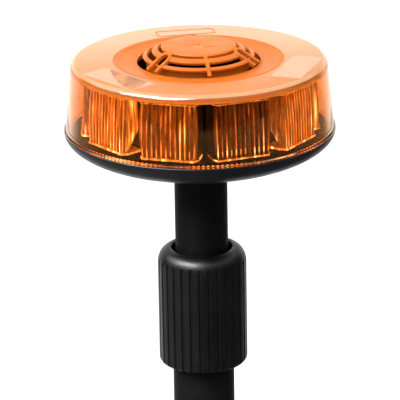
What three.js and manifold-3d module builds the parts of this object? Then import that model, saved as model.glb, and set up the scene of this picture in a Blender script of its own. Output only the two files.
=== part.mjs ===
// An amber LED warning beacon on a telescopic pole with a twist-lock collar.
// Millimetres, +Z up. The origin is the middle of the foot's underside, and the front is -Y.
import * as THREE from 'three';
import { mergeVertices } from 'three/addons/utils/BufferGeometryUtils.js';
import Module from 'manifold-3d';

const wasm = await Module();
wasm.setup();

// Driving dimensions.
const GAP = 0.3; // clearance between neighbouring pieces
const SEAM_Z = 370; // height of the seam between the lens and the base bowl
const HEAD_R = 76.1; // radius of the base bowl at its rim
const LENS_H = 39.4; // height of the lens above the seam
const LENS_R = 75.3; // outer radius of the lens at the seam
const LENS_TOP_R = 72; // outer radius of the lens under its rounded shoulder
const LENS_WALL = 2.5;
const SHOULDER_R = 3.8; // rounding between the lens's side and its top
const DISH_R = 47.7; // outer radius of the shallow dish in the lens's top
const CAP_R = 34.7; // radius of the vent cap at its foot
const CAP_TOP_R = 21.3; // radius of the vent cap's flat top
const CAP_TOP_Z = 47.1; // the vent cap's flat top, above the seam
const VENT_HOLE_R = 33.3; // hole in the lens that takes the vent cap
const WIDE_RIB = 67.5; // angle of the first of the vent cap's three wide ribs
const BOWL_DEPTH = 22.4; // depth of the base bowl below the seam
const BOWL_RIM_Z = -0.5; // where the bowl is widest, from the seam
const BOWL_WALL = 3;
const BASE_PLATE_LOW = -2.4;
const BASE_PLATE_HIGH = -0.4;
const BASE_SCREW_R = 55; // circle of the screws that hold the base plate
const NECK_SCREW_R = 27; // circle of the screws that hold the neck socket
const SCREW_HOLE_R = 1.9;
const SCREW_HEAD_R = 3.4;
const PIN_Z = -11.3; // the cross pin through the neck, from the seam
const MODULES = 10; // light modules round the head
const MODULE_FACE_R = 64; // distance from the axis to a module's front
const MODULE_BACK_R = 52.4;
const MODULE_WIDTH = 33;
const MODULE_LOW = 0.4; // a module's underside, from the seam
const MODULE_HIGH = 33; // a module's top, from the seam
const CORE_FLAT = 49; // distance from the axis to each flat side of the modules' carrier
const UPPER_TUBE_R = 15;
const LOWER_TUBE_R = 17.5;
const TUBE_WALL = 1.5;
const UPPER_TUBE_LOW = 115; // lower end of the sliding tube, with the pole as it is stored
const COLLAR_LOW = 229.5;
const COLLAR_HIGH = 298.6;
const COLLAR_R = 25.25;
const COLLAR_HOLE_R = 17.3;
const GROOVES = 30; // finger grooves round the collar
const CLAMP_R = 20.6; // outer radius of the threaded clamp body inside the collar
const FINGER_TOP = 288; // top of the clamp body's sprung fingers
const CLIP_LOW = 238; // groove for the clip that holds the collar on
const CLIP_GROOVE = 1.6;
const FOOT_R = 55;
const FOOT_BOLT_R = 42; // the foot's bolt circle
const FOOT_BOLT_HOLE_R = 4.5;
const FOOT_BOSS_TOP = 45.5;
const PAD_T = 2; // thickness of the rubber pad under the foot
const FLANGE_LOW = PAD_T + 0.2;
const FLANGE_TOP = 10.2;
const GRUB_Z = 30; // height of the foot's grub screws
const LOWER_TUBE_TOP = 268;

// How finely round pieces are faceted.
const WIDE_SIDES = 40;
const TUBE_SIDES = 32;
const SMALL_SIDES = 8;

const FINISHES = {
  amber: { color: 0xff8a1e, roughness: 0.12, metalness: 0, transparent: true, opacity: 0.55 },
  clear: { color: 0xffb25c, roughness: 0.1, metalness: 0, transparent: true, opacity: 0.6 },
  black_plastic: { color: 0x17181a, roughness: 0.45, metalness: 0 },
  black_paint: { color: 0x131211, roughness: 0.5, metalness: 0.3 },
  rubber: { color: 0x1b1b1b, roughness: 0.85, metalness: 0 },
  white_plastic: { color: 0xe9e6df, roughness: 0.5, metalness: 0 },
  circuit: { color: 0x1e4d2b, roughness: 0.6, metalness: 0 },
  board_white: { color: 0xd8d8d4, roughness: 0.5, metalness: 0 },
  steel: { color: 0x9a9c9e, roughness: 0.35, metalness: 1 },
  nylon: { color: 0x2b2b2c, roughness: 0.6, metalness: 0 },
};

const { degToRad: toRad, radToDeg: toDeg } = THREE.MathUtils;

// Puts a named piece, with a material of its own, in a group.
function add(group, name, geometry, finish) {
  const mesh = new THREE.Mesh(geometry, new THREE.MeshStandardMaterial(FINISHES[finish]));
  mesh.name = name;
  group.add(mesh);
  return mesh;
}

// The same surface with shared vertices and no collapsed triangles.
function tidy(geometry) {
  const bare = geometry.clone();
  bare.deleteAttribute('normal');
  bare.deleteAttribute('uv');
  const merged = mergeVertices(bare, 1e-4);
  const corners = merged.index.array;
  const kept = [];
  for (let i = 0; i < corners.length; i += 3) {
    const [a, b, c] = [corners[i], corners[i + 1], corners[i + 2]];
    if (a !== b && b !== c && c !== a) kept.push(a, b, c);
  }
  merged.setIndex(kept);
  return merged;
}

// A solid that can be joined and cut.
function solid(geometry) {
  const merged = tidy(geometry);
  return new wasm.Manifold(new wasm.Mesh({
    numProp: 3,
    vertProperties: new Float32Array(merged.attributes.position.array),
    triVerts: new Uint32Array(merged.index.array),
  }));
}

function surface(body) {
  const { vertProperties, triVerts } = body.getMesh();
  const geometry = new THREE.BufferGeometry();
  geometry.setAttribute('position', new THREE.BufferAttribute(vertProperties, 3));
  geometry.setIndex(new THREE.BufferAttribute(triVerts, 1));
  geometry.computeVertexNormals();
  return geometry;
}

// One geometry with others joined to it and cut from it.
function shaped(base, { join = [], cut = [] }) {
  let body = solid(base);
  for (const more of join) body = body.add(solid(more));
  for (const less of cut) body = body.subtract(solid(less));
  return surface(body);
}

// Turns an outline of [radius, z] points, listed anticlockwise, about the Z axis.
function revolve(outline, sides = TUBE_SIDES) {
  const onAxis = outline[0][0] === 0 && outline.at(-1)[0] === 0;
  const loop = onAxis ? outline : [...outline, outline[0]];
  const points = loop.map(([r, z]) => new THREE.Vector2(r, z));
  return tidy(new THREE.LatheGeometry(points, sides).rotateX(Math.PI / 2));
}

// A straight tube or ring between two radii and two heights.
function ring(inner, outer, low, high, sides = TUBE_SIDES) {
  return revolve([[inner, low], [outer, low], [outer, high], [inner, high]], sides);
}

// A solid upright rod.
function rod(radius, low, high, sides = SMALL_SIDES) {
  return revolve([[0, low], [radius, low], [radius, high], [0, high]], sides);
}

// Points of an elliptical arc in [radius, z], from one angle to another in degrees.
function arc(centreR, centreZ, halfR, halfZ, from, to, steps) {
  return Array.from({ length: steps + 1 }, (_, i) => {
    const turn = toRad(from + ((to - from) * i) / steps);
    return [centreR + halfR * Math.cos(turn), centreZ + halfZ * Math.sin(turn)];
  });
}

// Moves a geometry out from the axis and turns it to an angle, in degrees right of the front.
function atAngle(geometry, radius, degrees) {
  return geometry.clone().translate(0, -radius, 0).rotateZ(toRad(degrees));
}

function around(count, first, make) {
  return Array.from({ length: count }, (_, i) => make(first + (360 / count) * i, i + 1));
}

// The side outline of the lens's round shoulder, inset for the inside of its wall.
function shoulder(inset, steps) {
  const centreR = LENS_TOP_R - SHOULDER_R;
  const centreZ = LENS_H - SHOULDER_R;
  return arc(centreR, centreZ, SHOULDER_R - inset, SHOULDER_R - inset, 5, 90, steps);
}

function lens() {
  const step = 0.5;
  const dishFall = 1.5;
  const floor = LENS_H - dishFall;
  const outside = [
    [LENS_R, 0],
    ...shoulder(0, 3),
    [DISH_R, LENS_H],
    [DISH_R - 0.6, LENS_H - step],
    [CAP_R + 1.3, floor],
    [VENT_HOLE_R, floor],
  ];
  const inside = [
    [VENT_HOLE_R, floor - LENS_WALL],
    [DISH_R, LENS_H - LENS_WALL - step],
    ...shoulder(LENS_WALL, 1).reverse(),
    [LENS_R - LENS_WALL, 0],
  ];
  return revolve([...outside, ...inside], WIDE_SIDES);
}

// A flat arc-shaped bar between two radii, centred on an angle right of the front.
function arcBar(inner, outer, low, high, centre, span) {
  const middle = toRad(centre - 90);
  const half = toRad(span / 2);
  const outline = new THREE.Shape();
  outline.absarc(0, 0, outer, middle - half, middle + half, false);
  outline.absarc(0, 0, inner, middle + half, middle - half, true);
  const extrusion = { depth: high - low, bevelEnabled: false, curveSegments: 4 };
  return new THREE.ExtrudeGeometry(outline, extrusion).translate(0, 0, low);
}

// The domed cap in the middle of the lens: a flat top carried on six ribs, with three
// rows of curved slots between the ribs and one straight slot in each of the wide ribs.
function ventCap() {
  const foot = LENS_H - 1.2;
  const wall = 2.1;
  const skirt = VENT_HOLE_R - 0.4;
  const outline = [
    [CAP_R, foot],
    [CAP_R, foot + 0.7],
    [CAP_TOP_R, CAP_TOP_Z - 0.3],
    [CAP_TOP_R - 0.5, CAP_TOP_Z],
    [0, CAP_TOP_Z],
    [0, CAP_TOP_Z - wall],
    [CAP_TOP_R - 1.2, CAP_TOP_Z - wall],
    [skirt - 1.7, foot + 0.2],
    [skirt - 1.7, foot - 2.6],
    [skirt, foot - 2.6],
    [skirt, foot],
  ];
  const rows = [[22.1, 23.4], [26.3, 28.2], [31.1, CAP_R + 1]];
  const slotSpan = 46;
  const wideToSlot = 33.5;
  const slots = around(3, WIDE_RIB, (rib) => [rib - wideToSlot, rib + wideToSlot].map((centre) => (
    rows.map(([inner, outer]) => arcBar(inner, outer, foot + 0.75, CAP_TOP_Z + 2, centre, slotSpan))
  )));
  const radialSlot = new THREE.BoxGeometry(3.2, 8, 12).translate(0, 0, foot + 6.8);
  const ribSlots = around(3, WIDE_RIB, (rib) => atAngle(radialSlot, 29, rib));
  return shaped(revolve(outline, 36), { cut: [...slots.flat(2), ...ribSlots] });
}

// Height of the base bowl's outside (or its inside, for a wall's inset) at a radius.
function bowlZ(radius, inset = 0) {
  const reach = HEAD_R - inset;
  return BOWL_RIM_Z - (BOWL_DEPTH + BOWL_RIM_Z - inset) * Math.sqrt(1 - (radius / reach) ** 2);
}
function bowlCurve(inset, hole, steps) {
  const reach = HEAD_R - inset;
  const depth = BOWL_DEPTH + BOWL_RIM_Z - inset;
  const start = -toDeg(Math.acos(hole / reach));
  return arc(0, BOWL_RIM_Z, reach, depth, start, inset ? -10 : 0, steps);
}

function baseBowl() {
  const hole = UPPER_TUBE_R + GAP;
  const outline = [
    ...bowlCurve(0, hole, 7),
    [HEAD_R - 0.2, -GAP],
    [LENS_R, -GAP],
    [LENS_R, -1.6],
    [LENS_R - 3.3, -1.6],
    ...bowlCurve(BOWL_WALL, hole, 4).reverse(),
  ];
  const headRoom = SCREW_HEAD_R + 0.4;
  const posts = around(4, 45, (angle) => {
    const post = rod(5, bowlZ(BASE_SCREW_R + 5) + 0.3, BASE_PLATE_LOW - 0.2);
    return atAngle(post, BASE_SCREW_R, angle);
  });
  const baseHoles = around(4, 45, (angle) => {
    const bore = rod(SCREW_HOLE_R, -25, 0);
    const sink = rod(headRoom, -25, -11.5);
    return [atAngle(bore, BASE_SCREW_R, angle), atAngle(sink, BASE_SCREW_R, angle)];
  });
  const neckHoles = around(3, 0, (angle) => {
    const bore = rod(SCREW_HOLE_R, -25, 0);
    const sink = rod(headRoom, -25, -20);
    return [atAngle(bore, NECK_SCREW_R, angle), atAngle(sink, NECK_SCREW_R, angle)];
  });
  return shaped(revolve(outline, WIDE_SIDES), { join: posts, cut: [...baseHoles, ...neckHoles].flat() });
}

// A pan-head screw standing on its head.
function screw(headLow, headHigh, tip) {
  const shank = SCREW_HOLE_R - 0.2;
  return revolve([
    [0, headLow],
    [SCREW_HEAD_R - 0.8, headLow],
    [SCREW_HEAD_R, headLow + 0.8],
    [SCREW_HEAD_R, headHigh],
    [shank, headHigh],
    [shank, tip - 0.8],
    [shank - 0.8, tip],
    [0, tip],
  ], SMALL_SIDES);
}

function basePlate() {
  const holes = around(4, 45, (angle) => atAngle(rod(2.2, -10, 0), BASE_SCREW_R, angle));
  return shaped(ring(12, 71.4, BASE_PLATE_LOW, BASE_PLATE_HIGH, WIDE_SIDES), { cut: holes });
}

// The socket that the sliding tube is pinned into, screwed to the inside of the bowl.
function neckSocket() {
  const bore = UPPER_TUBE_R + 0.2;
  const outline = [
    [bore, -18.2],
    [19, -18.2],
    [19, -16.9],
    [34, -16.9],
    [34, -14],
    [21.5, -14],
    [20, -12.5],
    [20, -8.6],
    [bore, -8.6],
  ];
  const pinHole = rod(1.8, -30, 30).rotateY(Math.PI / 2).translate(0, 0, PIN_Z);
  const screwHoles = around(3, 0, (angle) => atAngle(rod(SCREW_HOLE_R, -20, 0), NECK_SCREW_R, angle));
  return shaped(revolve(outline), { cut: [pinHole, ...screwHoles] });
}

function upperTube() {
  const low = UPPER_TUBE_LOW - SEAM_Z;
  const pinHole = rod(1.8, -30, 30).rotateY(Math.PI / 2).translate(0, 0, PIN_Z);
  return shaped(ring(UPPER_TUBE_R - TUBE_WALL, UPPER_TUBE_R, low, -8.6), { cut: [pinHole] });
}

// The ten-sided carrier that the light modules stand round, open at its top and bottom
// with a floor between for the vent above and the driver board below.
function coreHousing() {
  const corner = CORE_FLAT / Math.cos(Math.PI / MODULES);
  const outline = new THREE.Shape();
  for (let i = 0; i < MODULES; i += 1) {
    const turn = (2 * Math.PI * i) / MODULES - Math.PI / 2;
    const point = [corner * Math.cos(turn), corner * Math.sin(turn)];
    if (i) outline.lineTo(...point);
    else outline.moveTo(...point);
  }
  const low = BASE_PLATE_HIGH + 0.3;
  const high = MODULE_HIGH + 0.5;
  const prism = new THREE.ExtrudeGeometry(outline, { depth: high - low, bevelEnabled: false });
  const well = rod(44, 15, high + 5, TUBE_SIDES);
  const underside = rod(44, low - 5, 12, TUBE_SIDES);
  const wireHole = rod(4, 0, 30).translate(36, 0, 0);
  return shaped(prism.translate(0, 0, low), { cut: [well, underside, wireHole] });
}

// Side view of one module's optic as [distance from the axis, z]: a bulged front face
// between a thin flange at the top and another at the bottom.
function optic() {
  const face = MODULE_FACE_R;
  const side = new THREE.Shape();
  side.moveTo(MODULE_BACK_R, MODULE_LOW);
  side.lineTo(face + 1.6, MODULE_LOW);
  side.lineTo(face + 1.6, MODULE_LOW + 1.4);
  side.lineTo(face - 1.2, MODULE_LOW + 1.6);
  side.quadraticCurveTo(face + 1.2, (MODULE_LOW + MODULE_HIGH) / 2, face - 1, MODULE_HIGH - 1.4);
  side.lineTo(face + 1.2, MODULE_HIGH - 1.2);
  side.lineTo(face + 1.2, MODULE_HIGH);
  side.lineTo(MODULE_BACK_R, MODULE_HIGH);
  const extrusion = { depth: MODULE_WIDTH, bevelEnabled: false, curveSegments: 6 };
  const turned = new THREE.Matrix4().makeBasis(
    new THREE.Vector3(0, -1, 0),
    new THREE.Vector3(0, 0, 1),
    new THREE.Vector3(-1, 0, 0),
  );
  const geometry = new THREE.ExtrudeGeometry(side, extrusion).applyMatrix4(turned);
  return tidy(geometry.translate(MODULE_WIDTH / 2, 0, 0));
}

// A light board with three square emitters, facing the front.
function ledBoard() {
  const board = new THREE.BoxGeometry(30, 1.5, 30).translate(0, -(CORE_FLAT + 1.1), 16.7);
  const emitters = [-9, 0, 9].map((x) => (
    new THREE.BoxGeometry(3.6, 1.6, 3.6).translate(x, -(CORE_FLAT + 2.1), 16.7)
  ));
  return shaped(board, { join: emitters });
}

function topReflector() {
  return ring(53.5, 68.2, MODULE_HIGH + 0.8, MODULE_HIGH + 2, WIDE_SIDES);
}

// The round driver board under the carrier's floor, with its tallest components.
function driverBoard() {
  const parts = [
    new THREE.BoxGeometry(12, 10, 5).translate(-12, 8, 3.8),
    new THREE.BoxGeometry(8, 8, 4).translate(10, -12, 3.3),
    rod(4.5, 1, 9).translate(13, 12, 0),
    rod(3.2, 1, 7).translate(-10, -14, 0),
  ];
  return shaped(rod(30.5, 0, 1.6, 24), { join: parts });
}

// A breathing disc in a raised holder on the carrier's floor.
function ventMembrane() {
  return revolve([[0, 15.2], [13, 15.2], [13, 18], [11.5, 18.6], [10, 17.4], [0, 17.4]], 28);
}

function makeHead() {
  const head = new THREE.Group();
  head.position.z = SEAM_Z;
  add(head, 'lens', lens(), 'amber');
  add(head, 'vent_cap', ventCap(), 'amber');
  add(head, 'lens_seal', ring(72.6, 75, -1.4, -0.2, WIDE_SIDES), 'rubber');
  add(head, 'base_bowl', baseBowl(), 'black_plastic');
  add(head, 'base_plate', basePlate(), 'black_plastic');
  add(head, 'core_housing', coreHousing(), 'black_plastic');
  add(head, 'top_reflector', topReflector(), 'white_plastic');
  add(head, 'driver_board', driverBoard(), 'circuit');
  add(head, 'vent_membrane', ventMembrane(), 'rubber');
  add(head, 'neck_socket', neckSocket(), 'steel');
  add(head, 'upper_tube', upperTube(), 'black_paint');
  const pin = rod(1.5, -19, 19).rotateY(Math.PI / 2).translate(0, 0, PIN_Z);
  add(head, 'neck_pin', pin, 'steel');
  around(MODULES, 180 / MODULES, (angle, number) => {
    add(head, `optic_${number}`, atAngle(optic(), 0, angle), 'clear');
    add(head, `led_board_${number}`, atAngle(ledBoard(), 0, angle), 'board_white');
  });
  around(4, 45, (angle, number) => {
    const fixing = atAngle(screw(-14, -11.8, -0.8), BASE_SCREW_R, angle);
    add(head, `base_screw_${number}`, fixing, 'steel');
  });
  around(3, 0, (angle, number) => {
    const fixing = atAngle(screw(-22, -20.3, -13), NECK_SCREW_R, angle);
    add(head, `neck_screw_${number}`, fixing, 'steel');
  });
  return head;
}

// The bush on the sliding tube's lower end, which runs in the lower tube.
function guideBush() {
  const low = UPPER_TUBE_LOW - 2.5;
  const outer = LOWER_TUBE_R - TUBE_WALL - 0.2;
  const lip = UPPER_TUBE_R - TUBE_WALL + 0.1;
  return revolve([
    [lip, low],
    [outer, low],
    [outer, low + 28],
    [UPPER_TUBE_R + 0.1, low + 28],
    [UPPER_TUBE_R + 0.1, UPPER_TUBE_LOW - GAP],
    [lip, UPPER_TUBE_LOW - GAP],
  ]);
}

// The clamp body is glued to the lower tube's top. Its upper end is a ring of sprung
// fingers, tapered outside, that the wedge ring squeezes onto the sliding tube.
function clampBody() {
  const groove = CLAMP_R - 0.9;
  const bore = UPPER_TUBE_R + 0.15;
  const outline = [
    [LOWER_TUBE_R + 0.1, 232],
    [CLAMP_R, 232],
    [CLAMP_R, CLIP_LOW],
    [groove, CLIP_LOW],
    [groove, CLIP_LOW + CLIP_GROOVE],
    [CLAMP_R, CLIP_LOW + CLIP_GROOVE],
    [CLAMP_R, 271],
    [18.2, 273],
    [18.2, 280],
    [17, FINGER_TOP],
    [bore, FINGER_TOP],
    [bore, LOWER_TUBE_TOP + 0.2],
    [LOWER_TUBE_R + 0.1, LOWER_TUBE_TOP + 0.2],
  ];
  const slits = [0, 60, 120].map((angle) => (
    new THREE.BoxGeometry(1.4, 60, 20).translate(0, 0, 285).rotateZ(toRad(angle))
  ));
  return shaped(revolve(outline), { cut: slits });
}

function wedgeRing() {
  return revolve([[18.6, 279], [21.5, 279], [21.5, 288.7], [17.6, 288.7]]);
}

// The outside of the collar from its lower edge up to its hole, listed anticlockwise.
function collarOutside() {
  const roundLow = 3.2;
  const shoulderR = 7;
  const shoulderZ = 8.8;
  return [
    ...arc(COLLAR_R - roundLow, COLLAR_LOW + roundLow, roundLow, roundLow, -80, 0, 2),
    ...arc(COLLAR_R - shoulderR, COLLAR_HIGH - shoulderZ, shoulderR, shoulderZ, 0, 90, 4),
  ];
}

function lockCollar() {
  const bore = CLAMP_R + 0.4;
  const chamber = 22;
  const grooveLow = CLIP_LOW - 0.1;
  const outline = [
    [bore, COLLAR_LOW],
    ...collarOutside(),
    [COLLAR_HOLE_R, COLLAR_HIGH - 0.4],
    [COLLAR_HOLE_R, 291.2],
    [chamber, 291.2],
    [chamber, 276],
    [bore, 275],
    [bore, grooveLow + CLIP_GROOVE + 0.2],
    [bore + 1, grooveLow + CLIP_GROOVE + 0.2],
    [bore + 1, grooveLow],
    [bore, grooveLow],
  ];
  const grooveTop = SEAM_Z - 77.3;
  const groove = rod(1.25, COLLAR_LOW - 2, grooveTop, 6);
  const grooves = around(GROOVES, 6, (angle) => atAngle(groove, COLLAR_R + 0.5, angle));
  return shaped(revolve(outline, GROOVES), { cut: grooves });
}

function footPad() {
  const holes = around(4, 45, (angle) => atAngle(rod(4.6, -5, 5), FOOT_BOLT_R, angle));
  return shaped(ring(12, FOOT_R - 1, 0, PAD_T), { cut: holes });
}

// A cast flange with a boss for the lower tube, four gussets and four bolt holes.
function footFlange() {
  const bore = LOWER_TUBE_R + 0.25;
  const outline = [
    [9, FLANGE_LOW],
    [FOOT_R, FLANGE_LOW],
    [FOOT_R, FLANGE_TOP - 1.5],
    [FOOT_R - 1.5, FLANGE_TOP],
    [27.5, FLANGE_TOP],
    [24.2, FLANGE_TOP + 3.5],
    [22.5, FOOT_BOSS_TOP - 1.5],
    [21, FOOT_BOSS_TOP],
    [bore, FOOT_BOSS_TOP],
    [bore, 12.2],
    [9, 12.2],
  ];
  const web = new THREE.Shape();
  web.moveTo(20, FLANGE_TOP - 1);
  web.lineTo(48, FLANGE_TOP - 1);
  web.lineTo(48, FLANGE_TOP + 0.8);
  web.lineTo(22, 36);
  web.lineTo(20, 36);
  const plate = new THREE.ExtrudeGeometry(web, { depth: 5, bevelEnabled: false });
  plate.rotateX(Math.PI / 2).translate(0, 2.5, 0);
  const gussets = [0, 90, 180, 270].map((angle) => plate.clone().rotateZ(toRad(angle)));
  const holes = around(4, 45, (angle) => atAngle(rod(FOOT_BOLT_HOLE_R, 0, 20), FOOT_BOLT_R, angle));
  const grubHoles = around(2, 45, (angle) => {
    const drill = rod(3, -30, -10).rotateX(-Math.PI / 2).translate(0, 0, GRUB_Z);
    return drill.rotateZ(toRad(angle));
  });
  return shaped(revolve(outline, 36), { join: gussets, cut: [...holes, ...grubHoles] });
}

function grubScrew(angle) {
  const body = rod(2.7, -23.4, -17.9).rotateX(-Math.PI / 2).translate(0, 0, GRUB_Z);
  return body.rotateZ(toRad(angle));
}

// The rubber ring that the supply lead would pass through, in the foot's floor.
function cableGrommet() {
  return revolve([[4, 2.6], [8.7, 2.6], [8.7, 12.5], [11, 12.5], [11, 14], [4, 14]], 24);
}

function makePole() {
  const pole = new THREE.Group();
  add(pole, 'foot_pad', footPad(), 'rubber');
  add(pole, 'foot_flange', footFlange(), 'black_paint');
  add(pole, 'cable_grommet', cableGrommet(), 'rubber');
  const tube = ring(LOWER_TUBE_R - TUBE_WALL, LOWER_TUBE_R, 12.6, LOWER_TUBE_TOP);
  add(pole, 'lower_tube', tube, 'black_paint');
  around(2, 45, (angle, number) => add(pole, `grub_screw_${number}`, grubScrew(angle), 'steel'));
  add(pole, 'clamp_body', clampBody(), 'nylon');
  const clip = ring(CLAMP_R - 0.7, CLAMP_R + 1.1, CLIP_LOW + 0.1, CLIP_LOW + CLIP_GROOVE - 0.1);
  add(pole, 'collar_clip', clip, 'steel');
  add(pole, 'wiper_seal', ring(15.2, 17.2, FINGER_TOP + GAP, FINGER_TOP + 2.3), 'rubber');
  return pole;
}

// The pieces that turn or slide on the pole: the collar, its wedge ring and the guide bush.
function makeRunners() {
  const runners = new THREE.Group();
  add(runners, 'lock_collar', lockCollar(), 'black_plastic');
  add(runners, 'wedge_ring', wedgeRing(), 'nylon');
  add(runners, 'guide_bush', guideBush(), 'nylon');
  return runners;
}

const beacon = new THREE.Group();
beacon.add(makePole(), makeRunners(), makeHead());

export default beacon;
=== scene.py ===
"""An amber LED warning beacon on a telescopic pole, in a pale studio."""

import math

import bmesh
import bpy
from mathutils import Matrix, Vector


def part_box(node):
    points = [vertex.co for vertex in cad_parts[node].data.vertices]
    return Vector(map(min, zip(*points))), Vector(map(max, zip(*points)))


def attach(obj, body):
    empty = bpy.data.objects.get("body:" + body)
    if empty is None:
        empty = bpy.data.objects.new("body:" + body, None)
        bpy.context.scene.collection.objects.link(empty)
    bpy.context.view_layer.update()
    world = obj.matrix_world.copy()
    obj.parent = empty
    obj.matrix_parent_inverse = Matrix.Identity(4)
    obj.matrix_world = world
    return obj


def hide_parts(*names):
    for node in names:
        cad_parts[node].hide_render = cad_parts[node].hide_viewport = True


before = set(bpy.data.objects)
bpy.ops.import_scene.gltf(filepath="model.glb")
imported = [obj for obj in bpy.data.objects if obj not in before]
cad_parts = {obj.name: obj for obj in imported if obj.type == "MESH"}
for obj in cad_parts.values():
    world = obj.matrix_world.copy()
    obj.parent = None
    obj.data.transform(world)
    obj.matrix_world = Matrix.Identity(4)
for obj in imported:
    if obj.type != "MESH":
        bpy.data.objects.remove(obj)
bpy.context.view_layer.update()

MM = 0.001


def low(node):
    """Lowest corner of a CAD node, in millimetres."""
    return [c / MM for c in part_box(node)[0]]


def high(node):
    """Highest corner of a CAD node, in millimetres."""
    return [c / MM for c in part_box(node)[1]]


# Places and sizes taken from the frame, in millimetres. Heights in the head are counted from the seam.
SEAM = low("lens")[2]
BOWL_R = high("base_bowl")[0]
BOWL_LOW = low("base_bowl")[2] - SEAM
LENS_R = high("lens")[0]
LENS_H = high("lens")[2] - SEAM
CAP_TOP = high("vent_cap")[2] - SEAM
CAP_R = high("vent_cap")[0]
CAP_FOOT = LENS_H - 1.5
UPPER_R = high("upper_tube")[0]
LOWER_R = high("lower_tube")[0]
COLLAR_LOW = low("lock_collar")[2]
COLLAR_HIGH = high("lock_collar")[2]
COLLAR_R = high("lock_collar")[1]
FOOT_R = high("foot_flange")[0]
FOOT_TOP = high("foot_flange")[2]
FLANGE_LOW = low("foot_flange")[2]
OPTIC_LOW = low("optic_1")[2] - SEAM
OPTIC_HIGH = high("optic_1")[2] - SEAM

# Sizes that the frame doesn't give, in millimetres.
LENS_WALL = 2.5
FOOT_BEAD_R = 76.0
LENS_TOP_R = 72.0
SHOULDER_R = 3.8
DISH_R = 47.7
VENT_HOLE_R = 36.2
CAP_TOP_R = 20.5
BOWL_RIM = -0.5
BOWL_WALL = 3.0
TUBE_WALL = 1.5
CLAMP_R = 20.6
MODULES = 10
FLUTES = 12
FACE_R = 64.0
GROOVES = 30
GROOVE_TOP = SEAM - 77.3
WIDE_RIBS = (67.5, 187.5, 307.5)
NARROW_RIBS = (7.5, 127.5, 247.5)
BASE_SCREW_R = 55.0
NECK_SCREW_R = 27.0
BOLT_CIRCLE_R = 42.0
FINE = 160

DIAGONALS = (45, 135, 225, 315)

# The numbers of an optic's materials, GLINT being its painted glints, and the cover's materials in order.
RIDGE, VALLEY, SIDE, GLINT = range(4)
LENS_LOOKS = ["lens", "lens_frost", "lens_dish", "lens_shoulder", "lens_edge"]


# ---------------- materials


def link(material, source, target):
    material.node_tree.links.new(source, target)


def set_inputs(shader_node, values):
    """Sets a node's inputs by their names, with underscores for spaces."""
    for name, value in values.items():
        shader_node.inputs[name.replace("_", " ")].default_value = value


def node(material, kind, **inputs):
    """A new shader node with some of its inputs set."""
    made = material.node_tree.nodes.new(kind)
    set_inputs(made, inputs)
    return made


def plastic(name, colour, roughness, **inputs):
    """A material with one Principled shader, and that shader."""
    material = bpy.data.materials.new(name)
    material.use_nodes = True
    shader = material.node_tree.nodes["Principled BSDF"]
    set_inputs(shader, {"Base Color": (*colour, 1), "Roughness": roughness, **inputs})
    return material, shader


def own_coordinates(material):
    return material.node_tree.nodes.new("ShaderNodeTexCoord").outputs["Object"]


def own_axis(material, axis):
    """One of the object's own coordinates, in metres."""
    split = material.node_tree.nodes.new("ShaderNodeSeparateXYZ")
    link(material, own_coordinates(material), split.inputs["Vector"])
    return split.outputs[axis]


def noise(material, scale, detail=3.0, stretch=(1, 1, 1)):
    """Fractal noise over the object's own coordinates. scale is in waves per metre."""
    mapping = node(material, "ShaderNodeMapping", Scale=stretch)
    cloud = node(material, "ShaderNodeTexNoise", Scale=scale, Detail=detail)
    link(material, own_coordinates(material), mapping.inputs["Vector"])
    link(material, mapping.outputs["Vector"], cloud.inputs["Vector"])
    return cloud.outputs["Fac"]


def remapped(material, source, first, last, to_first, to_last):
    """A value brought from one range to another."""
    remap = node(
        material, "ShaderNodeMapRange", From_Min=first, From_Max=last, To_Min=to_first, To_Max=to_last
    )
    link(material, source, remap.inputs["Value"])
    return remap.outputs["Result"]


def combine(tree, operation, first, second):
    """A sum or product of two values, or of a value and a fixed number."""
    made = tree.nodes.new("ShaderNodeMath")
    made.operation = operation
    tree.links.new(first, made.inputs[0])
    if isinstance(second, float):
        made.inputs[1].default_value = second
    else:
        tree.links.new(second, made.inputs[1])
    return made.outputs["Value"]


def ramp(tree, source, stops):
    """A colour that follows a value through a list of (place, colour) stops."""
    made = tree.nodes.new("ShaderNodeValToRGB")
    while len(made.color_ramp.elements) < len(stops):
        made.color_ramp.elements.new(0.5)
    for element, (spot, colour) in zip(made.color_ramp.elements, stops):
        element.position = spot
        element.color = (*colour, 1)
    tree.links.new(source, made.inputs["Fac"])
    return made.outputs["Color"]


def vary_roughness(material, shader, fac, smooth, rough):
    link(material, remapped(material, fac, 0.3, 0.7, smooth, rough), shader.inputs["Roughness"])


def vary_colour(material, shader, fac, dark, light):
    colour = ramp(material.node_tree, fac, ((0.35, dark), (0.65, light)))
    link(material, colour, shader.inputs["Base Color"])


def bump(material, shader, fac, height_mm, strength=1.0):
    relief = node(material, "ShaderNodeBump", Strength=strength, Distance=height_mm * MM)
    link(material, fac, relief.inputs["Height"])
    link(material, relief.outputs["Normal"], shader.inputs["Normal"])


def grained(name, colour, roughness, shades, sheen, grain=(), **inputs):
    """A material with a mottled colour, an uneven sheen and, if it isn't polished, a fine grain.

    shades says the dark and the light colour, sheen the lowest and the highest roughness, and grain
    the height in millimetres and the strength. Each ends with what noise() takes after the material.
    Shades that name no noise go from the part's front to its back: painted light, the part painted paler
    towards its back.
    """
    material, shader = plastic(name, colour, roughness, **inputs)
    dark, light, *mottle = shades
    if mottle:
        spread = noise(material, *mottle)
    else:
        # Painted light: the colour goes from its dark shade at the front to its light shade at the back.
        front, back = -0.075, 0.075
        spread = remapped(material, own_axis(material, "Y"), front, back, 0.2, 0.8)
    vary_colour(material, shader, spread, dark, light)
    smooth, rough, *patches = sheen
    vary_roughness(material, shader, noise(material, *patches), smooth, rough)
    if grain:
        height, strength, *texture = grain
        bump(material, shader, noise(material, *texture), height, strength)
    return material


def scaled(colour, factor):
    """A colour made lighter or darker, and no lighter than white."""
    return tuple(min(1.0, factor * c) for c in colour)


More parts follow.
